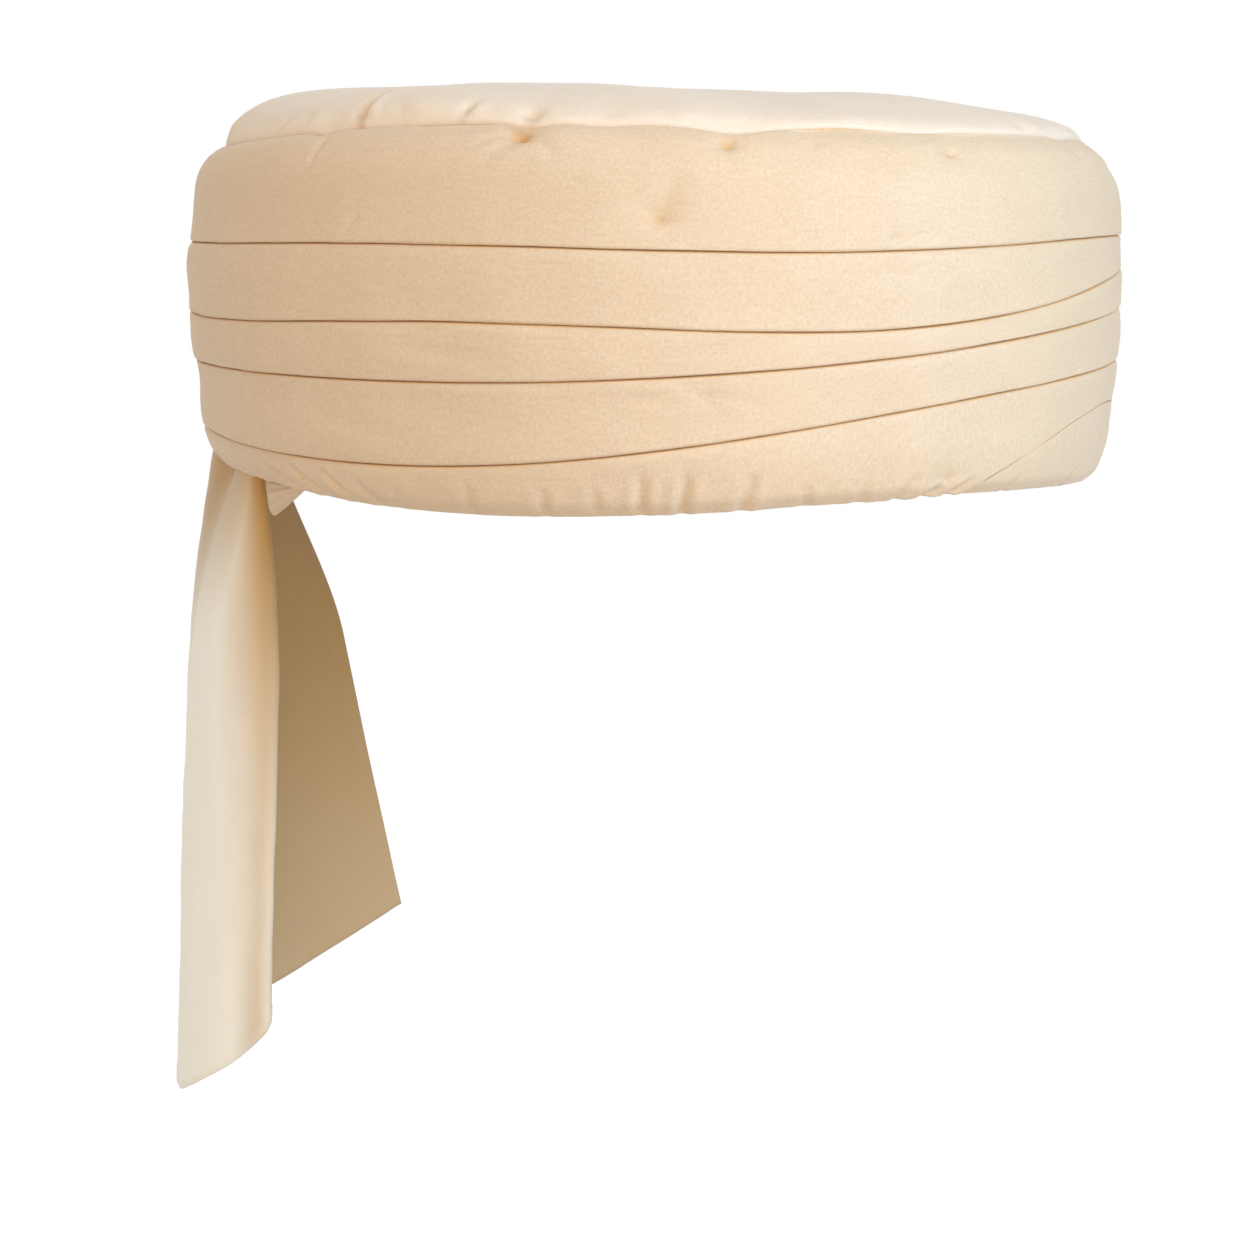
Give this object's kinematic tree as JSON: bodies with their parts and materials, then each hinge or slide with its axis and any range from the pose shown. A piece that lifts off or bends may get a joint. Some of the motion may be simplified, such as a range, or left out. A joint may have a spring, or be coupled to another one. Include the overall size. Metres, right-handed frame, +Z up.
{
  "type": "ready-wound turban with a hanging end",
  "caption": "Soft wound cloth turban with lapped turns round an oval head opening, a low domed crown and a loose gathered end that hangs behind the wearer's right ear.",
  "frame": {"origin": "centre of the oval head opening at the height of the rim", "axes": "+Z up through the crown, the wearer faces -Y, and the wearer's left is +X"},
  "size_m": [0.19, 0.23, 0.2342],
  "materials": {
    "crown_cloth": "matt cotton",
    "wound_cloth": "matt cotton",
    "tail_cloth": "matt cotton"
  },
  "bodies": {
    "root": {"crown": "crown_cloth", "turn_1": "wound_cloth", "turn_2": "wound_cloth", "turn_3": "wound_cloth", "turn_4": "wound_cloth", "turn_5": "wound_cloth", "turn_6": "wound_cloth", "tail": "tail_cloth", "tail_tuck": "tail_cloth"}
  },
  "joints": []
}
